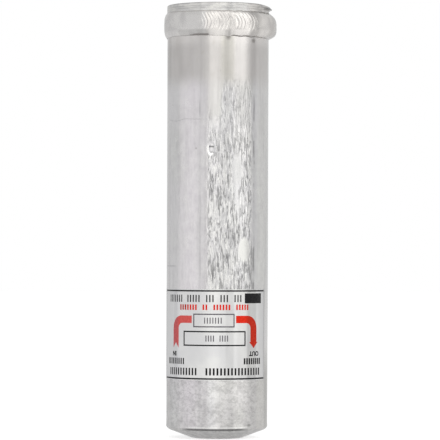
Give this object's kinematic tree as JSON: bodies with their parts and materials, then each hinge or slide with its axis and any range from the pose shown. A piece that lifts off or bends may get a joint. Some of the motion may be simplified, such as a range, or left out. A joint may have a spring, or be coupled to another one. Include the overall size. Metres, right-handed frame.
{
  "type": "filter drier",
  "caption": "Cylindrical aluminium receiver drier with a welded end cap, a foil label, and inlet, outlet and fixing hole in a flat port face.",
  "frame": {"origin": "centre of the flat port face, on the can's axis", "axes": "+Z along the can's axis from the port face to the welded cap, inlet port at -X, outlet port at +X, middle of the label at -Y; the drier stands on its port face as pictured, and in service it is turned over so that the ports are on top"},
  "size_m": [0.0665, 0.0642, 0.2555],
  "materials": {
    "can_aluminium": "bare extruded surface, dull and crinkled, with a smoother band by the weld",
    "cap_aluminium": "turned, with fine rings",
    "weld_aluminium": "as welded, rippled and bright",
    "label_foil": "metallised foil, satin",
    "label_ink_red": "printed ink",
    "label_ink_black": "printed ink",
    "tube_aluminium": "drawn tube",
    "seal_rubber": "moulded",
    "spring_steel": "spring wire",
    "plate_steel": "zinc plated, punched",
    "gauze_steel": "woven wire",
    "felt": "pressed felt",
    "desiccant": "packed beads",
    "strainer_plastic": "moulded nylon",
    "strainer_mesh": "fine nylon mesh"
  },
  "bodies": {
    "root": {"can_body": "can_aluminium", "end_cap": "cap_aluminium", "weld_bead": "weld_aluminium", "label": "label_foil", "pickup_tube": "tube_aluminium", "tube_seal": "seal_rubber", "bed_spring": "spring_steel", "inlet_plate": "plate_steel", "inlet_screen": "gauze_steel", "inlet_pad": "felt", "desiccant_bed": "desiccant", "outlet_pad": "felt", "outlet_screen": "gauze_steel", "outlet_plate": "plate_steel", "tube_clip": "plate_steel", "strainer_frame": "strainer_plastic", "strainer_screen": "strainer_mesh"}
  },
  "joints": []
}
